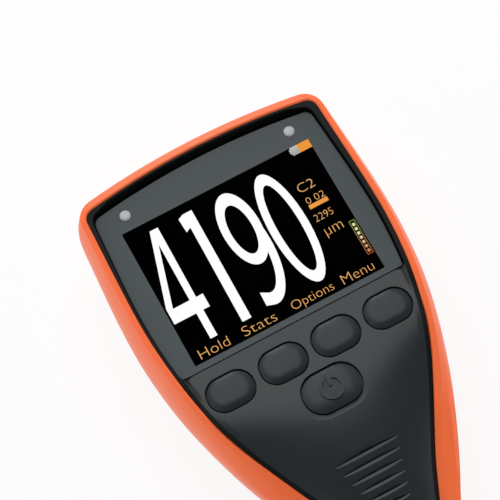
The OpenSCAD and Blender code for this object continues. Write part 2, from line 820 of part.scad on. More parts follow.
// Rubber cover of the data socket, turning on its lower edge
module socket_flap() {
    pin_r = flap_t / 2;
    color(black)
    at(0, 0.15 + pin_r, socket_z - flap_h / 2) {
        translate([0, 0, pin_r])
            rotate([0, 90, 0])
                cylinder(r = pin_r, h = flap_w, center = true);
        translate([0, 0, pin_r])
            block(flap_w, flap_t, flap_h - pin_r);
        translate([0, -pin_r - 0.35, flap_h / 2 - 1.2])
            block(socket_w - 1.8, 0.8, 1.8);
    }
}

module battery_tray() {
    color([0.16, 0.17, 0.18])
    at(0, (tray_d0 + tray_d1) / 2, pad_top)
        difference() {
            block(tray_in_w + 2 * tray_wall, tray_d1 - tray_d0, tray_top - pad_top);
            translate([0, 0, -1])
                block(tray_in_w, tray_in_l, tray_top - pad_top - 0.5);
        }
}

module battery_contacts() {
    contact_w = 0.62 * cell_w;
    color([0.78, 0.74, 0.6])
    for (s = [-1, 1], d = [tray_d0 + tray_wall + contact_t / 2, tray_d1 - tray_wall - contact_t / 2])
        at(s * cell_x, d, cell_z - contact_w / 2)
            block(contact_w, contact_t, contact_w);
}

module battery_springs() {
    color(steel) {
        at(-cell_x, tray_d1 - tray_wall - contact_t, cell_z)
            rotate([-90, 0, 0])
                coil(0.235 * cell_w, spring_wire / 2, cell_spring, 3, 12);
        at(cell_x, tray_d0 + tray_wall + contact_t, cell_z)
            rotate([90, 0, 0])
                coil(0.235 * cell_w, spring_wire / 2, cell_spring, 3, 12);
    }
}

// A cell with its stud toward +Z, standing at the middle of its flat end
module cell() {
    cylinder(r = cell_w / 2, h = cell_l - 1.2);
    cylinder(r = 2.7, h = cell_l);
}

module cell_left() {
    color([0.75, 0.68, 0.5])
    at(-cell_x, tray_d1 - tray_wall - contact_t - cell_spring, cell_z)
        rotate([-90, 0, 0])
            cell();
}

module cell_right() {
    color([0.75, 0.68, 0.5])
    at(cell_x, tray_d0 + tray_wall + contact_t + cell_spring, cell_z)
        rotate([90, 0, 0])
            cell();
}

module battery_cover() {
    color(charcoal)
    difference() {
        union() {
            at(0, cover_d)
                linear_extrude(cover_t)
                    rounded(cover_w, cover_l, cover_r);
            at(0, latch_d)
                cylinder(r = boss_r, h = boss_top);
            for (s = [-1, 1])
                at(s * 9, tray_d0 - 1.3, cover_t - eps) {
                    block(5, 1.4, pad_top - cover_t + 1.4);
                    translate([0, 0.9, pad_top - cover_t + 0.2])
                        block(5, 3.2, 1.2);
                }
        }
        at(0, latch_d, -1)
            cylinder(r = recess_r, h = recess_t + 1);
        at(0, latch_d, 0)
            cylinder(r = spindle_w / 2 + run_gap, h = boss_top + 1);
    }
}

module battery_seal() {
    color(black)
    at(0, cover_d, cover_t)
        linear_extrude(seal_t)
            difference() {
                rounded(cover_w - 0.8, cover_l - 0.8, cover_r - 0.4);
                rounded(hatch_w + 0.8, hatch_l + 0.8, cover_r - 1.6);
            }
}

// Latch spindle with the eye for its ring
module latch_spindle() {
    eye_t = 3;
    color(steel)
    at(0, latch_d)
        difference() {
            union() {
                translate([0, 0, recess_t - 0.7])
                    cylinder(r = spindle_w / 2 + 1.2, h = 0.65);
                translate([0, 0, recess_t - 0.1])
                    cylinder(r = spindle_w / 2, h = cam_z + cam_t - recess_t + 0.1);
                translate([0, 0, 0.25])
                    block(4, eye_t, recess_t - 0.6);
            }
            translate([0, 0, ring_z])
                rotate([0, 90, 0])
                    cylinder(r = ring_wire / 2 + run_gap, h = 10, center = true);
        }
}

// Wire ring that folds out of the cover to turn the latch
module latch_ring() {
    color(steel)
    at(0, latch_d, ring_z) {
        rotate([0, 0, 180])
            rotate_extrude(angle = 180)
                translate([ring_r, 0])
                    circle(ring_wire / 2);
        rotate([0, 90, 0])
            cylinder(r = ring_wire / 2, h = 2 * ring_r, center = true);
        for (s = [-1, 1])
            translate([s * ring_r, 0, 0])
                sphere(r = ring_wire / 2);
    }
}

module latch_cam() {
    color(steel)
    at(0, latch_d, cam_z)
        difference() {
            union() {
                cylinder(r = spindle_w / 2 + 1.3, h = cam_t);
                translate([0, -cam_l / 2, 0])
                    block(5, cam_l, cam_t);
            }
            translate([0, 0, -1])
                cylinder(r = spindle_w / 2, h = cam_t + 2);
        }
}

module case_screws() {
    color(steel)
    for (s = [-1, 1], p = screw_spots)
        at(s * p[0], p[1])
            difference() {
                union() {
                    translate([0, 0, bore_head_t - 1.9])
                        cylinder(r = screw_head_w / 2, h = 1.9);
                    translate([0, 0, bore_head_t - 0.5])
                        cylinder(r = screw_w / 2, h = screw_top - bore_head_t + 0.5);
                }
                translate([0, 0, 0])
                    cylinder(r = 1.2, h = bore_head_t - 0.8, $fn = 6);
            }
}

module strap_bar() {
    color(steel)
    at(0, slot_d, bar_z)
        rotate([0, 90, 0])
            cylinder(r = bar_w / 2, h = slot_w + 3.6, center = true);
}

// Probe collar: flange with crossed V notches outside the case, a stepped bore inside
module probe_collar() {
    color(black)
    difference() {
        union() {
            rod(barrel_w / 2, barrel_d0, case_l + 1);
            rod(collar_w / 2, case_l + 0.05, collar_end - 2.5);
            at(0, collar_end, probe_z)
                rotate([-90, 0, 0])
                    cylinder(r1 = collar_w / 2 - 1.4, r2 = collar_w / 2, h = 2.5);
        }
        rod(sleeve_w / 2 + run_gap, step_d - 1, collar_end + 1);
        rod(shoulder_r + run_gap, well_d0, step_d);
        rod(2, barrel_d0 - 1, well_d0 + 1);
        for (a = [0, 90])
            at(0, collar_end, probe_z)
                rotate([0, a, 0])
                    linear_extrude(40, center = true)
                        polygon([[-1.7, -0.1], [1.7, -0.1], [0, 1.3]]);
    }
}

module probe_sleeve() {
    color(steel)
    difference() {
        union() {
            rod(sleeve_w / 2, shoulder_d0 + 1, sleeve_end - 0.8);
            rod(shoulder_r, shoulder_d0, step_d - 0.1);
            rod(sleeve_w / 2 - 1, shoulder_d0 - 2.2, shoulder_d0 + 1);
            at(0, sleeve_end, probe_z)
                rotate([-90, 0, 0])
                    cylinder(r1 = sleeve_w / 2 - 0.8, r2 = sleeve_w / 2, h = 0.8);
        }
        rod(tip_w / 2, sleeve_end - tip_in, sleeve_end + 1);
    }
}

module probe_tip() {
    color([0.55, 0.56, 0.58])
    at(0, body_l - tip_w / 2, probe_z) {
        sphere(r = tip_w / 2);
        rotate([-90, 0, 0])
            cylinder(r = tip_w / 2, h = tip_in - 0.2);
    }
}

module probe_spring() {
    room = shoulder_d0 - well_d0;
    color(steel)
    at(0, shoulder_d0 - 0.05, probe_z)
        rotate([-90, 0, 0])
            coil(sleeve_w / 2, spring_wire / 2, room - 0.1, 5, 16);
}

front_frame();
rear_case();
front_panel();
display_window();
window_gasket();
lcd_module();
display_carrier();
main_board();
lamp_left();
lamp_right();
soft_key_1();
soft_key_2();
soft_key_3();
soft_key_4();
power_key();
key_switches();
data_socket();
socket_flap();
battery_tray();
battery_contacts();
battery_springs();
cell_left();
cell_right();
battery_cover();
battery_seal();
latch_spindle();
latch_ring();
latch_cam();
case_screws();
strap_bar();
probe_collar();
probe_sleeve();
probe_tip();
probe_spring();
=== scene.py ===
"""Coating thickness gauge: finishes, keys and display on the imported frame, in metres."""

import math

import bmesh
import bpy
from mathutils import Matrix, Vector
from mathutils.bvhtree import BVHTree


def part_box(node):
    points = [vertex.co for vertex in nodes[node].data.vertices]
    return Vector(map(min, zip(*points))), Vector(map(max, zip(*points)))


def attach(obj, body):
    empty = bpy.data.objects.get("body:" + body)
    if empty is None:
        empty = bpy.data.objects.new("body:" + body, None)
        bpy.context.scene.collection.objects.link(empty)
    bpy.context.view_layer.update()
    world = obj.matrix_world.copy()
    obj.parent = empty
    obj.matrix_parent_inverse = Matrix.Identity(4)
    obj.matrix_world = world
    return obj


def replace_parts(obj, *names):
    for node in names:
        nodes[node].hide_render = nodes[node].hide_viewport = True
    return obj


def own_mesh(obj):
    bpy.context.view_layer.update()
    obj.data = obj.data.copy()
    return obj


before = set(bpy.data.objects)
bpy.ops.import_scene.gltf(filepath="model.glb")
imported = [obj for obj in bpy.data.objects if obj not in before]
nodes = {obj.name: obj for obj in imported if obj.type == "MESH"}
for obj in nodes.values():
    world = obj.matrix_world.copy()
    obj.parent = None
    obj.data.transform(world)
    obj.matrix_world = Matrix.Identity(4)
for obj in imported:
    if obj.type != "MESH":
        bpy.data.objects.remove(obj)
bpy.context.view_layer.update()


# Outer shells. The front frame and the rear case are injection moulded with a soft orange
# skin over a stiff core. Both have a fine spark-eroded grain, and meet in a shallow groove.
def linear(red, green, blue):
    """A screen colour of 0 to 255 as a linear colour for a shader."""
    parts = [c / 255 for c in (red, green, blue)]
    return [c / 12.92 if c <= 0.04045 else ((c + 0.055) / 1.055) ** 2.4 for c in parts] + [1.0]


def moulded(name, light, dark, rough, grain, relief, specular=0.5):
    """Moulded plastic or rubber: colour that drifts a little, uneven gloss and a fine grain."""
    material = bpy.data.materials.new(name)
    material.use_nodes = True
    tree = material.node_tree
    shader = tree.nodes["Principled BSDF"]
    shader.inputs["Specular IOR Level"].default_value = specular
    place = tree.nodes.new("ShaderNodeTexCoord")

    drift = tree.nodes.new("ShaderNodeTexNoise")
    drift.inputs["Scale"].default_value = 45
    drift.inputs["Detail"].default_value = 3
    tint = tree.nodes.new("ShaderNodeMix")
    tint.data_type = "RGBA"
    tint.inputs["A"].default_value = linear(*dark)
    tint.inputs["B"].default_value = linear(*light)
    tree.links.new(place.outputs["Object"], drift.inputs["Vector"])
    tree.links.new(drift.outputs["Fac"], tint.inputs["Factor"])
    tree.links.new(tint.outputs["Result"], shader.inputs["Base Color"])

    pores = tree.nodes.new("ShaderNodeTexNoise")
    pores.inputs["Scale"].default_value = 1 / grain
    pores.inputs["Detail"].default_value = 2
    gloss = tree.nodes.new("ShaderNodeMapRange")
    gloss.inputs["To Min"].default_value = rough - 0.05
    gloss.inputs["To Max"].default_value = rough + 0.05
    bump = tree.nodes.new("ShaderNodeBump")
    bump.inputs["Strength"].default_value = relief
    bump.inputs["Distance"].default_value = grain * 0.1
    tree.links.new(place.outputs["Object"], pores.inputs["Vector"])
    tree.links.new(pores.outputs["Fac"], gloss.inputs["Value"])
    tree.links.new(gloss.outputs["Result"], shader.inputs["Roughness"])
    tree.links.new(pores.outputs["Fac"], bump.inputs["Height"])
    tree.links.new(bump.outputs["Normal"], shader.inputs["Normal"])
    return material


def paint(name, material):
    """Gives a frame node its finish."""
    mesh = nodes[name].data
    mesh.materials.clear()
    mesh.materials.append(material)


def soften(part, radius, segments=2, angle=35):
    """Rounds the edges of a piece or a frame node and smooths the shading between them."""
    for face in part.data.polygons:
        face.use_smooth = True
    weld = part.modifiers.new("weld", "WELD")
    weld.merge_threshold = 2e-6
    edge = part.modifiers.new("edge", "BEVEL")
    edge.width = radius
    edge.segments = segments
    edge.limit_method = "ANGLE"
    edge.angle_limit = math.radians(angle)
    normals = part.modifiers.new("normals", "WEIGHTED_NORMAL")
    normals.keep_sharp = True


def ride_on(shape, name, material, body="case", sharp=35):
    """A new piece from a bmesh, with its finish, riding on a body."""
    mesh = bpy.data.meshes.new(name)
    shape.to_mesh(mesh)
    shape.free()
    mesh.materials.append(material)
    for face in mesh.polygons:
        face.use_smooth = True
    mesh.set_sharp_from_angle(angle=math.radians(sharp))
    piece = bpy.data.objects.new(name, mesh)
    bpy.context.scene.collection.objects.link(piece)
    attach(piece, body)
    return piece


def joined_copy(name, flat=True):
    """A copy of a frame node with its loose triangles joined, and one face for each flat side."""
    shape = bmesh.new()
    shape.from_mesh(nodes[name].data)
    bmesh.ops.remove_doubles(shape, verts=shape.verts, dist=2e-6)
    if flat:
        bmesh.ops.dissolve_limit(
            shape, angle_limit=math.radians(0.5), verts=shape.verts, edges=shape.edges, delimit=set()
        )
    return shape


def draw_in(shape, block_corner, skin_point):
    """Brings a corner of an inner block that stands through the skin, and its twin, back to it."""
    for side in (-1, 1):
        mirrored = Vector((side, 1, 1))
        place = Vector(block_corner) * mirrored
        corner = min(shape.verts, key=lambda vert: (vert.co - place).length)
        corner.co = Vector(skin_point) * mirrored
    shape.normal_update()


shell_skin = moulded("shell_orange", (247, 112, 60), (242, 106, 55), 0.42, 0.00035, 0.25, 0.32)
front_shell = joined_copy("front_frame", flat=False)
draw_in(front_shell, (0.03119, -0.005, 0.017), (0.0311, -0.00471, 0.01733))
draw_in(front_shell, (0.02185, -0.02735, 0.014), (0.02153, -0.02654, 0.014))
front_shell.edges.index_update()
crease_turn = math.radians(12)
crease_tilt = 0.7
crease = []
for edge in front_shell.edges:
    if len(edge.link_faces) == 2 and edge.calc_face_angle(0) > crease_turn:
        steep, flat = sorted(face.normal.z for face in edge.link_faces)
        if steep < crease_tilt < flat:
            crease.append(edge.index)
front_piece = ride_on(front_shell, "front_shell", shell_skin, sharp=32)
for index in crease:
    front_piece.data.edges[index].use_edge_sharp = True
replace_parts(front_piece, "front_frame")

rear_shell = joined_copy("rear_case", flat=False)
draw_in(rear_shell, (0.0085, -0.0434, 0.003), (0.0081, -0.0429, 0.0032))
rear_piece = ride_on(rear_shell, "rear_shell", shell_skin)
soften(rear_piece, 0.0002)
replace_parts(rear_piece, "rear_case")


# Front panel. One dark moulding snapped into the frame from the front: a lip and a shelf for
# the window, a flat field for the keys and a crowned grip with lens-shaped grooves.
window_low, window_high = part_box("display_window")
window_middle = (window_low + window_high) / 2
panel_low, panel_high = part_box("front_panel")
field_head = window_low.y - 0.0003
field_foot = panel_low.y + 0.00002

lip = joined_copy("front_panel")
cut = bmesh.ops.bisect_plane(
    lip,
    geom=lip.verts[:] + lip.edges[:] + lip.faces[:],
    dist=1e-7,
    plane_co=(0, field_head, 0),
    plane_no=(0, 1, 0),
    clear_inner=True,
)["geom_cut"]
bmesh.ops.holes_fill(lip, edges=[e for e in cut if isinstance(e, bmesh.types.BMEdge)])
window_ease = 0.0005
window_ease_run = 0.025
head_ease = 0.0012
head_ease_half = 0.031
head_ease_fade = 0.005
recess_edges = []
for edge in lip.edges:
    if len(edge.link_faces) != 2:
        continue
    flat, wall = sorted(edge.link_faces, key=lambda face: -face.normal.z)
    toward = window_middle - wall.calc_center_median()
    end = edge.verts[0].co
    square = flat.normal.z > 0.9 and abs(wall.normal.z) < 0.3
    inward = wall.normal.x * toward.x + wall.normal.y * toward.y > 0
    if square and inward and end.z > window_high.z + 0.001 and end.y > field_head + 0.0001:
        recess_edges.append(edge)
for corner in {v for edge in recess_edges for v in edge.verts}:
    if corner.co.y > window_high.y - 0.004:
        corner.co.y += head_ease * min(1, max(0, (head_ease_half - abs(corner.co.x)) / head_ease_fade))
    if corner.co.x < 0:
        corner.co.x -= window_ease * min(1, -corner.co.x / window_ease_run)
recess_round = 0.0002
bmesh.ops.bevel(
    lip, geom=recess_edges, offset=recess_round, segments=3, profile=0.5, affect="EDGES", material=-1
)
# Painted shade: the lip's top gets the darker copy; recess walls and faces under the window the
# near-black one.
for face in lip.faces:
    place = face.calc_center_median()
    toward = window_middle - place
    inward = face.normal.x * toward.x + face.normal.y * toward.y > 0
    painted_recess_shade = inward and face.normal.z < 0.8
    face.material_index = 1 if painted_recess_shade or place.z < window_high.z else 0
panel_skin = moulded("panel_dark", (38, 43, 46), (32, 37, 40), 0.3, 0.0003, 0.15, 0.35)
# Darker copy of the panel's rubber as painted shade: on the lip, field edges and groove creases.
painted_shade_skin = moulded("panel_lip_shade_paint", (20, 19, 19), (15, 14, 14), 0.5, 0.0003, 0.15, 0.12)
# Near-black copy as deeper painted shade: recess walls, faces under the window, key side walls.
painted_deep_shade_skin = moulded("deep_shade_paint", (9, 9, 9), (5, 5, 5), 0.5, 0.0003, 0.15, 0.1)
lip_piece = ride_on(lip, "panel_lip_shade_paint", painted_shade_skin, sharp=20)
lip_piece.data.materials.append(painted_deep_shade_skin)

key_names = ("soft_key_1", "soft_key_2", "soft_key_3", "soft_key_4", "power_key")
key_flange = 0.0007
key_gap = 0.00035
key_round = 0.472


def key_size(name):
    """Middle, length, width and corner radius of a key's cap, without the flange under the panel."""
    low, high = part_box(name)
    size = high - low - Vector((2 * key_flange, 2 * key_flange, 0))
    return (low + high) / 2, size.x, size.y, size.y * key_round


def ease(t):
    """A soft step from 0 to 1."""
    t = max(0, min(1, t))
    return t * t * (3 - 2 * t)


soft_middle, soft_long, soft_wide, soft_round = key_size("soft_key_1")
power_middle, power_long, power_wide, power_round = key_size("power_key")
crown_head = soft_middle.y + soft_wide / 2
crown_foot = power_middle.y - power_wide
lip_wide = 0.0011
lip_slope = 0.0012
lip_fade = 0.65
lip_run = 0.012
crown_power = 2.2
clear_reach = 0.06
edge_looks = 40
panel_copy = joined_copy("front_panel", flat=False)
panel_tree = BVHTree.FromBMesh(panel_copy)
panel_copy.free()


def panel_edge(y):
    """Half the panel's width at a place along it."""
    reach = 0
    for look in range(edge_looks):
        height = panel_low.z + (panel_high.z - panel_low.z) * (look + 0.5) / edge_looks
        hit = panel_tree.ray_cast(Vector((clear_reach, y, height)), Vector((-1, 0, 0)))[0]
        if hit:
            reach = max(reach, hit.x)
    return reach


def panel_height(x, y):
    """Height of the panel's front at a place, or None over a key hole."""
    hit = panel_tree.ray_cast(Vector((x, y, clear_reach)), Vector((0, 0, -1)))[0]
    return hit.z if hit else None


def edge_share(share, half, y):
    """A place's share of the edge's height: a fading lip beside the keys, a crown at the grip."""
    crown = ease((crown_head - y) / (crown_head - crown_foot))
    lipped = 1 - ease((half * (1 - abs(share)) - lip_wide) / lip_slope)
    lipped *= 1 - lip_fade * ease((field_head - y) / lip_run)
    return lipped + (abs(share) ** crown_power - lipped) * crown


def evened(run):
    """A run of heights with its small steps evened out and its ends kept."""
    widest = 7
    for turn in range(2):
        last = len(run) - 1
        spans = [min(widest, k, last - k) for k in range(last + 1)]
        run = [sum(run[k - s : k + s + 1]) / (2 * s + 1) for k, s in enumerate(spans)]
    return run


spine_count = 140
between_keys = 0.0105
spine_half = []
spine_edge = []
spine_middle = []
for k in range(spine_count + 1):
    y = field_head + (field_foot - field_head) * k / spine_count
    half = panel_edge(y)
    spine_half.append(half)
    at_edge = panel_height(half * 0.999, y)
    for x in (between_keys, 0):
        seen = panel_height(x, y) if x < half * 0.8 else None
        if seen is not None:
            part = edge_share(x / half, half, y)
            spine_middle.append((seen - at_edge * part) / (1 - part))
            break
    spine_edge.append(at_edge)
spine_edge = evened(spine_edge)
spine_middle = evened(spine_middle)


def on_spine(run, y):
    """The height on an evened run at a place along the panel."""
    place = (field_head - y) / (field_head - field_foot) * spine_count
    k = min(int(place), spine_count - 1)
    a, b, c, d = (run[min(max(j, 0), spine_count)] for j in (k - 1, k, k + 1, k + 2))
    t = place - k
    return b + 0.5 * t * (c - a + t * (2 * a - 5 * b + 4 * c - d + t * (3 * (b - c) + d - a)))


groove_first = -0.0227
groove_pitch = 0.00265
groove_count = 7
groove_long = 0.0087
groove_shrink = 0.0008
groove_wide = 0.0008
groove_deep = 0.00042
groove_floor = 0.125
groove_point = 0.4
crease_shade_share = 0.4


def groove_depth(x, y):
    """How deep a groove is at a place: a gentle fall from the head and a short rise behind it."""
    rank = round((groove_first - y) / groove_pitch)
    if rank < 0 or rank >= groove_count:
        return 0
    spread = 1 - (x / (groove_long - groove_shrink * rank)) ** 2
    if spread <= 0:
        return 0
    taper = spread**groove_point
    along = (groove_first - rank * groove_pitch - y) / (groove_wide * taper)
    if abs(along) >= 1:
        return 0
    fall = (1 + along) / (1 + groove_floor)
    rise = (1 - along) / (1 - groove_floor)
    return groove_deep * taper * min(fall, rise)


dish_wide = 0.0013
dish_crest = 0.0004
dish_deep = 0.00015


def dish_depth(x, y):
    """How far the field dips round the lower side of the power key, up to a crest."""
    across = max(0, abs(x - power_middle.x) - power_long / 2 + power_round)
    along = max(0, power_middle.y - y - power_wide / 2 + power_round)
    out = math.hypot(across, along) - power_round
    low = ease((power_middle.y - y) / power_wide)
    return dish_deep * low * (1 - ease((out - dish_wide + dish_crest) / dish_crest))


groove_head = groove_first + groove_pitch / 2
dish_head = power_middle.y - power_wide / 4
dish_foot = power_middle.y - power_wide / 2 - dish_wide - dish_crest
groove_foot = groove_head - groove_count * groove_pitch
plain_row = 0.0006
dish_row = 0.0002
groove_row = 0.00012
field_rows = []
for start, end, pitch in (
    (field_head, dish_head, plain_row),
    (dish_head, dish_foot, dish_row),
    (dish_foot, groove_head, plain_row),
    (groove_head, groove_foot, groove_row),
    (groove_foot, field_foot, plain_row),
):
    count = round((start - end) / pitch)
    field_rows += [start + (end - start) * k / count for k in range(count)]
field_rows.append(field_foot)
field = bmesh.new()
columns = 110
lip_columns = 4
bmesh.ops.create_grid(field, x_segments=columns, y_segments=len(field_rows) - 1, size=1)
row_edges = [panel_edge(y) for y in field_rows]
for corner in field.verts:
    row = round((1 - corner.co.y) / 2 * (len(field_rows) - 1))
    y = field_rows[row]
    half = row_edges[row]
    middle = on_spine(spine_middle, y)
    from_edge = min(round((1 + side * corner.co.x) / 2 * columns) for side in (-1, 1))
    if from_edge < lip_columns:
        x = math.copysign(half - lip_wide * from_edge / lip_columns, corner.co.x)
    else:
        x = corner.co.x / (1 - 2 * lip_columns / columns) * (half - lip_wide)
    rise = (on_spine(spine_edge, y) - middle) * edge_share(x / half, half, y)
    corner.co = (x, y, middle + rise - groove_depth(x, y) - dish_depth(x, y))
panel_thick = 0.0014
skin_faces = field.faces[:]
bmesh.ops.recalc_face_normals(field, faces=skin_faces)
if sum(face.normal.z for face in skin_faces) < 0:
    bmesh.ops.reverse_faces(field, faces=skin_faces)
bmesh.ops.solidify(field, geom=skin_faces, thickness=panel_thick)


def rounded_prism(shape, middle, long, wide, radius, foot, head):
    """Adds an upright prism with rounded corners."""
    made = bmesh.ops.create_cube(shape, size=1)["verts"]
    bmesh.ops.scale(shape, verts=made, vec=(long, wide, head - foot))
    bmesh.ops.translate(shape, verts=made, vec=(middle.x, middle.y, (head + foot) / 2))
    upright = {e for v in made for e in v.link_edges if abs(e.verts[0].co.z - e.verts[1].co.z) > 1e-6}
    bmesh.ops.bevel(
        shape, geom=list(upright), offset=radius, segments=14, profile=0.5, affect="EDGES", material=-1
    )


hole_foot = 0.025
hole_head = 0.045
cutter = bmesh.new()
for name in key_names:
    middle, long, wide, radius = key_size(name)
    hole_long = long + 2 * key_gap
    hole_wide = wide + 2 * key_gap
    rounded_prism(cutter, middle, hole_long, hole_wide, radius + key_gap, hole_foot, hole_head)
cutter_mesh = bpy.data.meshes.new("key_holes")
cutter.to_mesh(cutter_mesh)
cutter.free()
cutter_object = bpy.data.objects.new("key_holes", cutter_mesh)
bpy.context.scene.collection.objects.link(cutter_object)
field_mesh = bpy.data.meshes.new("key_field")
field.to_mesh(field_mesh)
field.free()
field_object = bpy.data.objects.new("key_field", field_mesh)
bpy.context.scene.collection.objects.link(field_object)
holes = field_object.modifiers.new("holes", "BOOLEAN")
holes.operation = "DIFFERENCE"
holes.object = cutter_object
holes.solver = "EXACT"
bpy.context.view_layer.update()
pierced = bmesh.new()
pierced.from_mesh(field_object.evaluated_get(bpy.context.evaluated_depsgraph_get()).to_mesh())
for helper in (field_object, cutter_object):
    bpy.data.objects.remove(helper)
rim_half = 0.0295
rim_round = 0.0003
rim_edges = [
    e
    for e in pierced.edges
    if e.is_manifold
    and e.calc_face_angle(0) > math.radians(70)
    and max(f.normal.z for f in e.link_faces) > 0.8
    and min(abs(f.normal.z) for f in e.link_faces) < 0.2
    and abs(e.verts[0].co.x) < rim_half
    and power_middle.y - power_wide < e.verts[0].co.y < field_head - 0.0005
]
bmesh.ops.bevel(
    pierced,
    geom=rim_edges,
    offset=rim_round,
    segments=3,
    profile=0.5,
    affect="EDGES",
    material=-1,
    clamp_overlap=True,
)
# Painted shade: a band along each edge and the fall of each groove take the darker copy of the rubber.
for face in pierced.faces:
    place = face.calc_center_median()
    painted_edge_shade = abs(place.x) > on_spine(spine_half, place.y) - lip_wide - 0.00005
    painted_crease_shade = face.normal.y < -0.2 and groove_depth(place.x, place.y) > crease_shade_share * groove_deep
    face.material_index = 1 if painted_edge_shade or painted_crease_shade else 0
field_piece = ride_on(pierced, "key_field", panel_skin)
field_piece.data.materials.append(painted_shade_skin)
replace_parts(field_piece, "front_panel")


# Window. A flat sheet of glass, printed grey on its back round the picture, set in a black
# rubber gasket on the panel's shelf. The picture shows black where it is dark.
window_print = moulded("window", (72, 79, 81), (67, 74, 76), 0.34, 0.0008, 0.02, 0.15)
window_sheet = joined_copy("display_window")
lamp_low, lamp_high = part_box("lamp_left")
lamp_middle = (lamp_low + lamp_high) / 2
lamp_clear = 0.003
window_side = -0.02
for corner in window_sheet.verts:
    if corner.co.x < window_side and (corner.co.xy - lamp_middle.xy).length > lamp_clear:
        corner.co.x -= window_ease
window_piece = ride_on(window_sheet, "window_sheet", window_print, sharp=20)
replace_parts(window_piece, "display_window")
seal_rubber = moulded("seal_black", (16, 16, 17), (11, 11, 12), 0.7, 0.0004, 0.2, 0.2)
paint("window_gasket", seal_rubber)
soften(nodes["window_gasket"], 0.00005)

picture_size = (0.0534, 0.0401)
picture_middle = Vector((0, 0.0358, window_high.z))


def lit(name, bottom, top, low, high, glow=1.0):
    """Lit picture elements: a colour that runs from bottom to top, in a fine pixel grid."""
    material = bpy.data.materials.new(name)
    material.use_nodes = True
    tree = material.node_tree
    shader = tree.nodes["Principled BSDF"]
    shader.inputs["Base Color"].default_value = (0.01, 0.01, 0.01, 1)
    shader.inputs["Roughness"].default_value = 0.4
    shader.inputs["Specular IOR Level"].default_value = 0.1
    shader.inputs["Emission Strength"].default_value = glow
    place = tree.nodes.new("ShaderNodeTexCoord")
    split = tree.nodes.new("ShaderNodeSeparateXYZ")
    span = tree.nodes.new("ShaderNodeMapRange")
    span.inputs["From Min"].default_value = low
    span.inputs["From Max"].default_value = high
    run = tree.nodes.new("ShaderNodeMix")
    run.data_type = "RGBA"
    run.inputs["A"].default_value = linear(*bottom)
    run.inputs["B"].default_value = linear(*top)
    pixels = tree.nodes.new("ShaderNodeTexChecker")
    pixels.inputs["Scale"].default_value = 6000
    pixels.inputs["Color1"].default_value = (1, 1, 1, 1)
    pixels.inputs["Color2"].default_value = (0.94, 0.94, 0.94, 1)
    dots = tree.nodes.new("ShaderNodeMix")
    dots.data_type = "RGBA"
    dots.blend_type = "MULTIPLY"
    dots.inputs["Factor"].default_value = 1
    tree.links.new(place.outputs["Object"], split.inputs["Vector"])
    tree.links.new(split.outputs["Y"], span.inputs["Value"])
    tree.links.new(span.outputs["Result"], run.inputs["Factor"])
    tree.links.new(place.outputs["Object"], pixels.inputs["Vector"])
    tree.links.new(run.outputs["Result"], dots.inputs["A"])
    tree.links.new(pixels.outputs["Color"], dots.inputs["B"])
    tree.links.new(dots.outputs["Result"], shader.inputs["Emission Color"])
    return material


def plate(shape, x0, x1, y0, y1, z, thick):
    """Adds a thin plate to a bmesh."""
    made = bmesh.ops.create_cube(shape, size=1)["verts"]
    bmesh.ops.scale(shape, verts=made, vec=(x1 - x0, y1 - y0, thick))
    bmesh.ops.translate(shape, verts=made, vec=((x0 + x1) / 2, (y0 + y1) / 2, z + thick / 2))


def solid_of(curve):
    """A filled curve as a mesh."""
    holder = bpy.data.objects.new("outline", curve)
    bpy.context.scene.collection.objects.link(holder)
    bpy.context.view_layer.update()
    solid = bpy.data.meshes.new_from_object(holder.evaluated_get(bpy.context.evaluated_depsgraph_get()))
    bpy.data.objects.remove(holder)
    return solid


def lettering(shape, words, x0, x1, y0, y1, z, thick):
    """Adds words to a bmesh, drawn to fill a box."""
    curve = bpy.data.curves.new("words", "FONT")
    curve.body = words
    curve.resolution_u = 8
    curve.extrude = 0.5
    curve.offset = -0.02
    solid = solid_of(curve)
    corners = [v.co for v in solid.vertices]
    left = min(c.x for c in corners)
    right = max(c.x for c in corners)
    foot = min(c.y for c in corners)
    head = max(c.y for c in corners)
    fit = Matrix.Translation(((x0 + x1) / 2, (y0 + y1) / 2, z + thick / 2))
    fit = fit @ Matrix.Diagonal(((x1 - x0) / (right - left), (y1 - y0) / (head - foot), thick, 1))
    solid.transform(fit @ Matrix.Translation((-(left + right) / 2, -(foot + head) / 2, 0)))
    shape.from_mesh(solid)
    bpy.data.meshes.remove(solid)


def on_picture(x, y):
    """A place on the picture, in millimetres from its lower left corner, in the frame."""
    left = picture_middle.x - picture_size[0] / 2
    foot = picture_middle.y - picture_size[1] / 2
    return left + x / 1000, foot + y / 1000


picture_thick = 0.00003
picture = bmesh.new()
x0, y0 = on_picture(0, 0)
x1, y1 = on_picture(picture_size[0] * 1000, picture_size[1] * 1000)
plate(picture, x0, x1, y0, y1, picture_middle.z, picture_thick)
picture_black = moulded("picture_black", (2, 2, 2), (1, 1, 1), 0.3, 0.001, 0.01, 0.0)
ride_on(picture, "picture", picture_black)


# Picture content. Tall lit figures of the reading fill most of the picture. A column at the right
# holds the charge, the count, the last limit and the unit, and the foot names the soft keys.
def arc(x, y, across, up, start, end, steps=40):
    """Points along an oval, from one angle to another."""
    turns = [math.radians(start + (end - start) * k / steps) for k in range(steps + 1)]
    return [(x + across * math.cos(a), y + up * math.sin(a)) for a in turns]


def figure(shape, outlines, z, thick):
    """Adds a figure to a bmesh from outlines in the picture, where an inner outline is a hole."""
    curve = bpy.data.curves.new("figure", "CURVE")
    curve.dimensions = "2D"
    curve.fill_mode = "BOTH"
    curve.extrude = 0.5
    for outline in outlines:
        line = curve.splines.new("POLY")
        line.points.add(len(outline) - 1)
        line.use_cyclic_u = True
        for point, (x, y) in zip(line.points, outline):
            point.co = (*on_picture(x, y), 0, 1)
    solid = solid_of(curve)
    solid.transform(Matrix.Translation((0, 0, z + thick / 2)) @ Matrix.Diagonal((1, 1, thick, 1)))
    shape.from_mesh(solid)
    bpy.data.meshes.remove(solid)


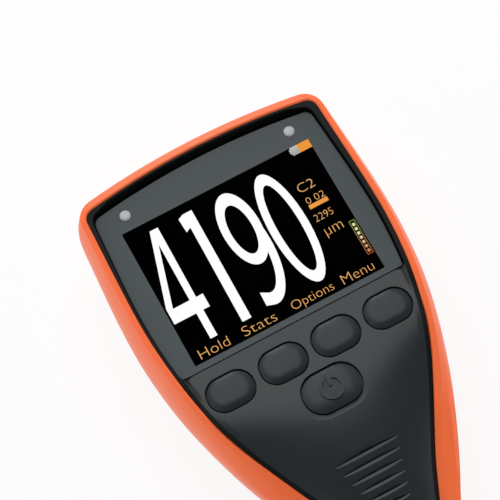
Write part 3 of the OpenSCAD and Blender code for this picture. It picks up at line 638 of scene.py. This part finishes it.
glow_z = picture_middle.z + picture_thick
glow_thick = 0.00002
figures_head = 37.4
figures_foot = 4.6
figures = bmesh.new()
four = [
    (6.5, figures_head),
    (8.8, figures_head),
    (8.6, 16.1),
    (10.5, 16.1),
    (10.5, 12.25),
    (8.6, 12.25),
    (8.6, figures_foot),
    (6.65, figures_foot),
    (6.65, 12.25),
    (0.55, 12.25),
    (0.55, 16.8),
]
figure(figures, [four, [(6.9, 33.2), (6.8, 16.1), (2.1, 16.1)]], glow_z, glow_thick)
one = [
    (14.4, 36.7),
    (15.9, figures_head),
    (18.45, figures_head),
    (18.15, figures_foot),
    (15.65, figures_foot),
    (16.0, 33.3),
    (14.6, 32.6),
]
figure(figures, [one], glow_z, glow_thick)
bowl = arc(27.1, 26.7, 5.0, 10.7, 0, 351)
figure(figures, [bowl, arc(27.0, 26.5, 2.9, 7.3, 0, 351)], glow_z, glow_thick)
tail = arc(25.6, 21.0, 6.5, 16.4, 20, -97)
tail += [(22.85, 5.4), (23.0, 9.3)]
tail += arc(25.6, 21.0, 4.5, 12.95, -97, 20)
figure(figures, [tail], glow_z, glow_thick * 0.8)
nought = [arc(37.8, 21.0, 5.0, 16.4, 0, 354), arc(37.8, 21.0, 3.0, 13.1, 0, 354)]
figure(figures, nought, glow_z, glow_thick)
white_glow = lit("picture_white", (255, 255, 255), (255, 255, 255), 0.02, 0.05)
ride_on(figures, "reading", white_glow)

words = bmesh.new()
for text, left, right, foot, head in (
    ("Hold", 2.2, 10.4, 0.8, 3.4),
    ("Stats", 14.3, 23.6, 0.8, 3.4),
    ("Options", 28.2, 39.8, 0.2, 3.4),
    ("Menu", 42.4, 51.1, 0.8, 3.4),
    ("C2", 44.5, 49.0, 27.8, 30.3),
    ("0 02", 44.8, 49.9, 24.2, 26.0),
    ("2295", 44.4, 49.4, 18.9, 20.9),
    ("µm", 45.0, 49.8, 13.6, 16.3),
):
    x0, y0 = on_picture(left, foot)
    x1, y1 = on_picture(right, head)
    lettering(words, text, x0, x1, y0, y1, glow_z, glow_thick)
amber_glow = lit("picture_amber", (236, 170, 90), (240, 180, 108), 0.016, 0.055)
ride_on(words, "picture_words", amber_glow)


def picture_bar(shape, left, right, foot, head):
    """Adds a lit bar to a bmesh, placed in millimetres on the picture."""
    x0, y0 = on_picture(left, foot)
    x1, y1 = on_picture(right, head)
    plate(shape, x0, x1, y0, y1, glow_z, glow_thick)


marks = bmesh.new()
picture_bar(marks, 44.7, 50.0, 22.7, 23.9)
picture_bar(marks, 50.0, 53.4, 37.7, 40.1)
orange_glow = lit("picture_orange", (236, 156, 60), (238, 146, 32), 0.03, 0.056)
ride_on(marks, "picture_marks", orange_glow)

spent = bmesh.new()
picture_bar(spent, 48.0, 50.0, 37.7, 40.1)
picture_bar(spent, 47.6, 48.0, 38.3, 39.6)
grey_glow = lit("picture_grey", (150, 150, 150), (190, 190, 190), 0.053, 0.056)
ride_on(spent, "picture_charge", grey_glow)

scale_frame = bmesh.new()
picture_bar(scale_frame, 51.35, 51.6, 4.9, 15.1)
picture_bar(scale_frame, 52.8, 53.05, 4.9, 15.1)
picture_bar(scale_frame, 51.6, 52.8, 4.9, 5.15)
picture_bar(scale_frame, 51.6, 52.8, 14.85, 15.1)
bar_glow = lit("picture_bar", (150, 62, 34), (104, 128, 50), 0.021, 0.031)
ride_on(scale_frame, "picture_scale", bar_glow)
step_pitch = 1.32
step_tall = 0.8
steps = bmesh.new()
for step in range(7):
    step_foot = 5.5 + step * step_pitch
    picture_bar(steps, 51.85, 52.55, step_foot, step_foot + step_tall)
step_glow = lit("picture_steps", (196, 110, 50), (224, 222, 170), 0.021, 0.027)
ride_on(steps, "picture_steps", step_glow)


# Lamps. Two clear-white light pipes stand on the board and show as low domes in the window.
lamp_body = moulded("lamp", (186, 188, 188), (164, 166, 166), 0.35, 0.0005, 0.1)
dome_rise = 0.0004
for lamp in ("lamp_left", "lamp_right"):
    pipe = bmesh.new()
    low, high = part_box(lamp)
    radius = (high.x - low.x) / 2
    tall = high.z - dome_rise - low.z
    bmesh.ops.create_cone(pipe, cap_ends=True, segments=48, radius1=radius, radius2=radius, depth=tall)
    middle = ((low.x + high.x) / 2, (low.y + high.y) / 2, (high.z - dome_rise + low.z) / 2)
    bmesh.ops.translate(pipe, verts=pipe.verts, vec=middle)
    dome = max(pipe.faces, key=lambda face: face.calc_center_median().z)
    for part in (0.5, 0.25, 0.1, 0.02):
        bmesh.ops.inset_region(pipe, faces=[dome], thickness=radius * 0.12, use_even_offset=True)
        for corner in dome.verts:
            corner.co.z = high.z - dome_rise * part
    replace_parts(ride_on(pipe, lamp + "_pipe", lamp_body), lamp)


# Keys. Four soft keys and a power key in silicone rubber, domed, each with a flange under the
# panel and a foot over its switch. The power key has a raised standby mark.
key_rubber = moulded("key_rubber", (34, 42, 46), (28, 35, 39), 0.36, 0.00025, 0.15, 0.3)
mark_rise = 0.00045
cap_fall = 0.00095
cap_crown = 0.0003
cap_rings = 9
cap_inset = 0.42
flange_lift = 0.0007
flange_thick = 0.001
flange_lap = 0.0001
foot_radius = 0.002
foot_tall = 0.0008
for name in key_names:
    middle, long, wide, radius = key_size(name)
    low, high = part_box(name)
    top_z = high.z - (mark_rise if name == "power_key" else 0)
    flange_z = low.z + flange_lift
    cap = bmesh.new()
    shoulder = wide * (0.34 if name == "power_key" else 0.24)
    cap_foot = flange_z + flange_thick - flange_lap
    rounded_prism(cap, middle, long, wide, radius, cap_foot, top_z - cap_fall)
    top = max(cap.faces, key=lambda face: face.calc_center_median().z)
    ring_wide = wide * cap_inset / cap_rings
    for ring in range(1, cap_rings + 1):
        bmesh.ops.inset_region(cap, faces=[top], thickness=ring_wide, use_even_offset=True)
        round_off = (1 - min(1, ring * ring_wide / shoulder)) ** 2
        for corner in top.verts:
            out = (corner.co.xy - middle.xy).length / (long / 2)
            corner.co.z = top_z - cap_crown * out**2 - (cap_fall - cap_crown) * round_off
    peak = bmesh.ops.poke(cap, faces=[top])["verts"][0]
    peak.co.z = top_z
    rounded_prism(
        cap,
        middle,
        long + 2 * key_flange,
        wide + 2 * key_flange,
        radius + key_flange,
        flange_z,
        flange_z + flange_thick,
    )
    foot = bmesh.ops.create_cone(
        cap, cap_ends=True, segments=32, radius1=foot_radius, radius2=foot_radius, depth=foot_tall
    )
    bmesh.ops.translate(cap, verts=foot["verts"], vec=(middle.x, middle.y, low.z + foot_tall / 2))
    if name == "power_key":
        mark_out = 0.0032
        mark_in = 0.0024
        mark_tall = 0.00065
        mark_foot = high.z - mark_tall
        upright = Matrix.Rotation(math.radians(90), 3, "X")
        to_start = Matrix.Rotation(math.radians(112), 3, "Z")
        bar = bmesh.ops.create_grid(cap, x_segments=1, y_segments=1, size=0.5)["verts"]
        bmesh.ops.scale(cap, verts=bar, vec=(mark_out - mark_in, mark_tall, 1))
        bmesh.ops.rotate(cap, verts=bar, cent=(0, 0, 0), matrix=upright)
        mark_middle = ((mark_out + mark_in) / 2, 0, mark_foot + mark_tall / 2)
        bmesh.ops.translate(cap, verts=bar, vec=mark_middle)
        bmesh.ops.rotate(cap, verts=bar, cent=(0, 0, 0), matrix=to_start)
        bmesh.ops.translate(cap, verts=bar, vec=(middle.x, middle.y, 0))
        bmesh.ops.spin(
            cap,
            geom=list({f for v in bar for f in v.link_faces}),
            cent=(middle.x, middle.y, 0),
            axis=(0, 0, 1),
            angle=math.radians(316),
            steps=44,
        )
        stem_half = 0.00035
        plate(cap, -stem_half, stem_half, middle.y + 0.0004, middle.y + 0.0034, mark_foot, mark_tall)
    bmesh.ops.recalc_face_normals(cap, faces=cap.faces)
    # Painted shade: the caps' side walls and the mark's walls take the near-black copy, as shade in the
    # gaps.
    for face in cap.faces:
        face.material_index = 1 if abs(face.normal.z) < 0.3 else 0
    cap_piece = ride_on(cap, name + "_cap", key_rubber, body=name, sharp=40)
    cap_piece.data.materials.append(painted_deep_shade_skin)
    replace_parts(cap_piece, name)


# Back of the case. A dark cover over the cells is held by a quarter-turn latch with a folding
# wire ring. Four steel screws close the case, and a steel bar takes a wrist strap.
paint("battery_cover", panel_skin)
soften(nodes["battery_cover"], 0.0002)
paint("battery_seal", seal_rubber)
soften(nodes["battery_seal"], 0.0001)


def metal(name, light, dark, rough, grain, relief):
    """Machined or drawn metal with a fine grain."""
    material = moulded(name, light, dark, rough, grain, relief)
    material.node_tree.nodes["Principled BSDF"].inputs["Metallic"].default_value = 1
    return material


bright_steel = metal("steel", (196, 198, 202), (178, 180, 184), 0.3, 0.0002, 0.1)
for part in ("latch_spindle", "latch_ring", "latch_cam", "case_screws", "strap_bar"):
    paint(part, bright_steel)
    soften(nodes[part], 0.0001)


# Data socket. A small metal-shelled connector on the board, under a rubber flap that is hinged
# below it in the head end of the frame.
paint("data_socket", bright_steel)
soften(nodes["data_socket"], 0.0001)
paint("socket_flap", key_rubber)
soften(nodes["socket_flap"], 0.0002)


# Probe. A black collar screwed into the nose guides a steel sleeve with a hard, polished wear
# tip. The return spring sits behind it.
paint("probe_collar", seal_rubber)
soften(nodes["probe_collar"], 0.0002)
paint("probe_sleeve", bright_steel)
soften(nodes["probe_sleeve"], 0.0002)
hard_tip = metal("tip", (170, 172, 176), (156, 158, 162), 0.12, 0.0002, 0.02)
paint("probe_tip", hard_tip)
soften(nodes["probe_tip"], 0.0001)
spring_piece = ride_on(joined_copy("probe_spring", flat=False), "return_spring", bright_steel)
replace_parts(spring_piece, "probe_spring")
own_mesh(spring_piece)


# Inside. The display, its carrier, the circuit board with its switches, and a tray with two
# cells between leaf contacts and coil springs.
paint("lcd_module", moulded("lcd_module", (34, 36, 40), (28, 30, 33), 0.3, 0.0005, 0.05))
paint("display_carrier", moulded("inner_white", (216, 216, 208), (206, 206, 198), 0.5, 0.0004, 0.1))
paint("main_board", moulded("board", (34, 96, 58), (26, 84, 48), 0.35, 0.0006, 0.1))
paint("key_switches", panel_skin)
paint("battery_tray", panel_skin)
brass = metal("contact", (206, 180, 120), (190, 162, 104), 0.3, 0.0003, 0.1)
for part in ("battery_contacts", "battery_springs"):
    paint(part, brass)
cell_wrap = moulded("cell_wrap", (70, 76, 84), (60, 66, 74), 0.3, 0.0006, 0.05)
for part in ("cell_left", "cell_right"):
    paint(part, cell_wrap)


# Floor, lights and camera. A plain white floor that keeps a faint shadow, a broad softbox
# overhead, a small lamp low beyond the head end, a fill at each side, and a sky that is
# pale at the horizon and the head end and dark above the grip.
floor_shape = bmesh.new()
bmesh.ops.create_grid(floor_shape, x_segments=1, y_segments=1, size=1.5)
floor_mesh = bpy.data.meshes.new("floor")
floor_shape.to_mesh(floor_mesh)
floor_shape.free()
floor = bpy.data.objects.new("floor", floor_mesh)
bpy.context.scene.collection.objects.link(floor)
floor_paint = bpy.data.materials.new("floor")
floor_paint.use_nodes = True
floor_tree = floor_paint.node_tree
floor_shader = floor_tree.nodes["Principled BSDF"]
floor_shader.inputs["Base Color"].default_value = (0.9, 0.9, 0.9, 1)
floor_shader.inputs["Roughness"].default_value = 0.9
floor_shader.inputs["Specular IOR Level"].default_value = 0.0
rays = floor_tree.nodes.new("ShaderNodeLightPath")
seen = rays.outputs["Is Camera Ray"]
for kind in ("Is Glossy Ray", "Is Transmission Ray"):
    either = floor_tree.nodes.new("ShaderNodeMath")
    either.operation = "MAXIMUM"
    floor_tree.links.new(seen, either.inputs[0])
    floor_tree.links.new(rays.outputs[kind], either.inputs[1])
    seen = either.outputs[0]
white_floor = floor_tree.nodes.new("ShaderNodeEmission")
white_floor.inputs["Strength"].default_value = 1
floor_share = floor_tree.nodes.new("ShaderNodeMath")
floor_share.operation = "MULTIPLY"
floor_share.inputs[1].default_value = 0.88
floor_mix = floor_tree.nodes.new("ShaderNodeMixShader")
floor_tree.links.new(seen, floor_share.inputs[0])
floor_tree.links.new(floor_share.outputs[0], floor_mix.inputs["Fac"])
floor_tree.links.new(floor_shader.outputs["BSDF"], floor_mix.inputs[1])
floor_tree.links.new(white_floor.outputs["Emission"], floor_mix.inputs[2])
floor_tree.links.new(floor_mix.outputs["Shader"], floor_tree.nodes["Material Output"].inputs["Surface"])
floor_mesh.materials.append(floor_paint)

world = bpy.data.worlds.new("world")
bpy.context.scene.world = world
world.use_nodes = True
world_tree = world.node_tree
world_tree.nodes["Background"].inputs["Color"].default_value = (1, 1, 1, 1)
sky_way = world_tree.nodes.new("ShaderNodeTexCoord")
sky_split = world_tree.nodes.new("ShaderNodeSeparateXYZ")
sky_fall = world_tree.nodes.new("ShaderNodeMapRange")
sky_fall.inputs["From Max"].default_value = 0.6
sky_fall.inputs["To Min"].default_value = 1.0
sky_fall.inputs["To Max"].default_value = 0.0
sky_side = world_tree.nodes.new("ShaderNodeMapRange")
sky_side.inputs["From Min"].default_value = -0.3
sky_side.inputs["From Max"].default_value = 0.7
sky_side.inputs["To Min"].default_value = 0.16
sky_side.inputs["To Max"].default_value = 0.8
sky_most = world_tree.nodes.new("ShaderNodeMath")
sky_most.operation = "MAXIMUM"
world_tree.links.new(sky_way.outputs["Generated"], sky_split.inputs["Vector"])
world_tree.links.new(sky_split.outputs["Z"], sky_fall.inputs["Value"])
world_tree.links.new(sky_split.outputs["Y"], sky_side.inputs["Value"])
world_tree.links.new(sky_fall.outputs["Result"], sky_most.inputs[0])
world_tree.links.new(sky_side.outputs["Result"], sky_most.inputs[1])
world_tree.links.new(sky_most.outputs[0], world_tree.nodes["Background"].inputs["Strength"])


def soft_lamp(name, place, aim, size, power):
    """A square soft lamp at a place, turned toward a point."""
    light = bpy.data.lights.new(name, "AREA")
    light.size = size
    light.energy = power
    lamp = bpy.data.objects.new(name, light)
    lamp.location = place
    lamp.rotation_euler = (Vector(aim) - Vector(place)).to_track_quat("-Z", "Y").to_euler()
    bpy.context.scene.collection.objects.link(lamp)
    return lamp


soft_lamp("softbox", (0.0, 0.5, 1.0), (0, 0.02, 0.02), 1.1, 6.6)
soft_lamp("head_light", (0.12, 1.0, 0.3), (0, 0.02, 0.02), 0.25, 1.6)
soft_lamp("left_fill", (-1.0, -0.15, 0.3), (0, 0, 0.02), 0.9, 2.8)
right_fill = soft_lamp("right_fill", (1.0, -0.35, 0.12), (0, 0, 0.02), 0.5, 5.0)
right_fill.visible_glossy = False

camera_data = bpy.data.cameras.new("camera")
camera_data.sensor_width = 36
camera_data.lens = 180
camera = bpy.data.objects.new("camera", camera_data)
across = Vector((0.88037, -0.47056, -0.05931))
upward = Vector((0.45814, 0.81139, 0.36296))
back = Vector((-0.12267, -0.34672, 0.92991))
turn = Matrix((across, upward, back)).transposed().to_4x4()
camera.matrix_world = Matrix.Translation((-0.0773, -0.1809, 0.6176)) @ turn
bpy.context.scene.collection.objects.link(camera)
bpy.context.scene.camera = camera
bpy.context.scene.view_settings.view_transform = "Standard"
